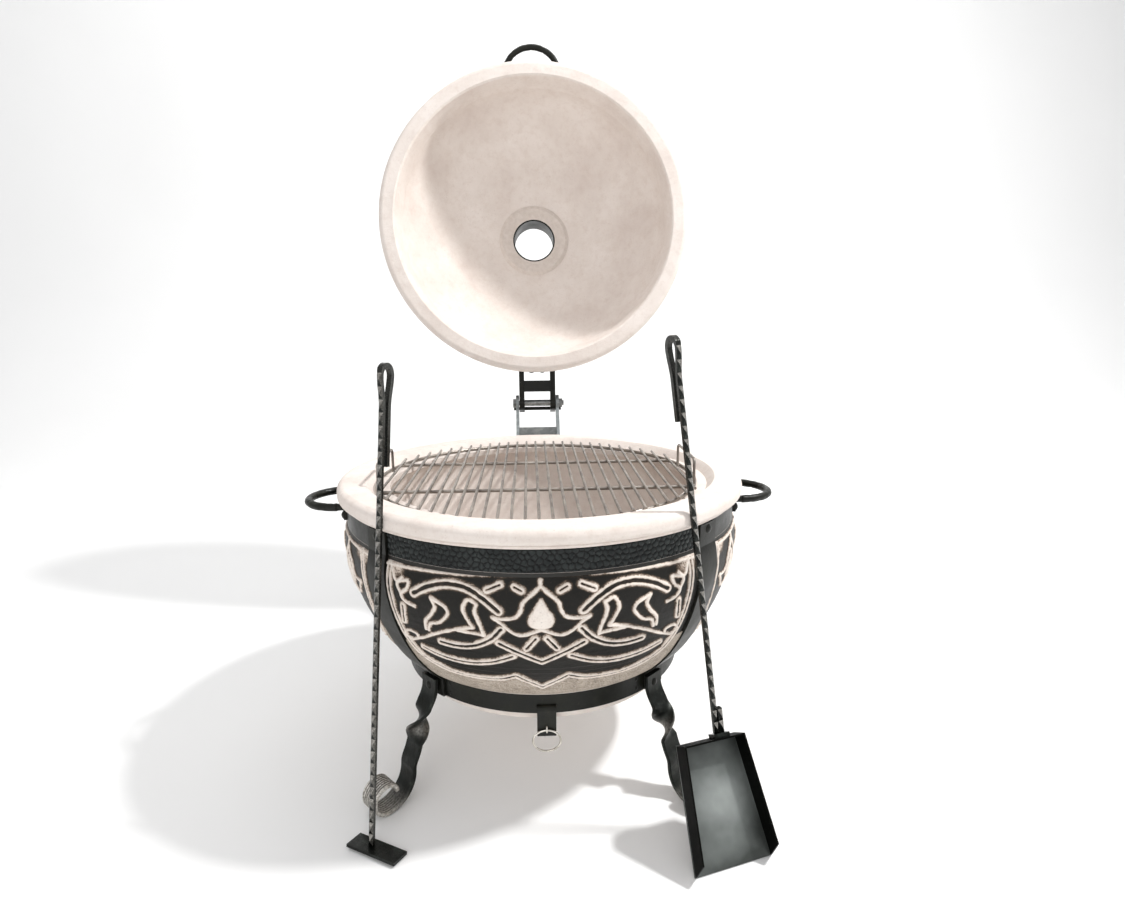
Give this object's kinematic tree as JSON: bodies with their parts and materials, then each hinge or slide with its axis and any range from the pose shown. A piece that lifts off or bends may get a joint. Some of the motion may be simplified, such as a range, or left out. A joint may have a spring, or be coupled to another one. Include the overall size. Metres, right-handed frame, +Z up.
{
  "type": "kamado grill",
  "caption": "Round clay kamado grill on three scroll legs with a hinged domed lid, cooking grate, draft slide, flue cover, rake and shovel.",
  "frame": {"origin": "on the ground under the bowl's axis", "axes": "+Z up along the bowl's axis, -Y towards the front with the draft slide, +X to the right seen from the front"},
  "size_m": [0.6978, 0.9678, 1.1729],
  "materials": {
    "clay": "unglazed cream clay inside, dark glaze outside",
    "hammered_band": "cobbled by hammer, patinated",
    "dark_steel": "satin dark green-black",
    "forged_iron": "hammered, patinated",
    "galvanised": "dull grey zinc",
    "bright_steel": "bright",
    "mortar": "rough cement",
    "cast": "rough cast",
    "brass": "worn",
    "chromed": "bright"
  },
  "bodies": {
    "base": {"bowl_shell": "clay", "band_front": "hammered_band", "band_left": "dark_steel", "band_right": "dark_steel", "lower_hoop": "dark_steel", "strap_front_left": "dark_steel", "strap_front_right": "dark_steel", "strap_rear": "dark_steel", "leg_front_left": "forged_iron", "leg_front_right": "forged_iron", "leg_rear": "forged_iron", "handle_left": "dark_steel", "handle_right": "dark_steel", "base_rivets": "dark_steel", "fire_grate": "cast", "hinge_bracket": "galvanised", "hinge_bolt": "bright_steel", "hinge_nut": "bright_steel"},
    "lid": {"lid_dome": "clay", "lid_band": "dark_steel", "lid_strap_front_left": "dark_steel", "lid_strap_front_right": "dark_steel", "lid_strap_rear": "dark_steel", "flue_collar": "dark_steel", "flue_mortar": "mortar", "lid_handle": "dark_steel", "lid_arms": "dark_steel", "lid_rivets": "dark_steel", "hinge_spacer": "bright_steel", "stop_bar": "dark_steel", "cover_pivot": "bright_steel"},
    "cover": {"flue_cover": "dark_steel", "cover_knob": "brass"},
    "grate": {"grate_bars": "bright_steel", "grate_frame": "bright_steel", "grate_loops": "bright_steel"},
    "damper": {"draft_slide": "dark_steel", "tab_staple": "bright_steel"},
    "ring": {"pull_ring": "chromed"},
    "rake": {"rake_shaft": "forged_iron", "rake_plate": "forged_iron"},
    "shovel": {"shovel_shaft": "forged_iron", "shovel_tang": "forged_iron", "shovel_pan": "forged_iron"}
  },
  "joints": [
    {"name": "lid_hinge", "type": "hinge", "parent": "base", "child": "lid", "pos_m": [0, 0.359, 0.478], "axis": [1, 0, 0], "range_deg": [0, 99.9]},
    {"name": "flue_cover_swing", "type": "hinge", "parent": "lid", "child": "cover", "pos_m": [0, 0.59265, 0.74074], "axis": [0, 0.9851, -0.1719], "range_deg": [-45, 180]},
    {"name": "grate_lift", "type": "slide", "parent": "base", "child": "grate", "axis": [0, 0, 1], "range_m": [0, 0.04]},
    {"name": "draft_slide_out", "type": "slide", "parent": "base", "child": "damper", "axis": [0, -1, 0], "range_m": [0, 0.0595]},
    {"name": "ring_swing", "type": "hinge", "parent": "damper", "child": "ring", "pos_m": [0, -0.2102, 0.11881], "axis": [-1, 0, 0], "range_deg": [0, 60]},
    {"name": "rake_away", "type": "slide", "parent": "base", "child": "rake", "axis": [-0.677, -0.736, 0], "range_m": [0, 0.125]},
    {"name": "shovel_away", "type": "slide", "parent": "base", "child": "shovel", "axis": [0.6, -0.8, 0], "range_m": [0, 0.125]}
  ],
  "couplings": [
    {"joint": "rake_away", "follows": "lid_hinge", "m_per_rad": 0.068824},
    {"joint": "shovel_away", "follows": "lid_hinge", "m_per_rad": 0.068824}
  ]
}
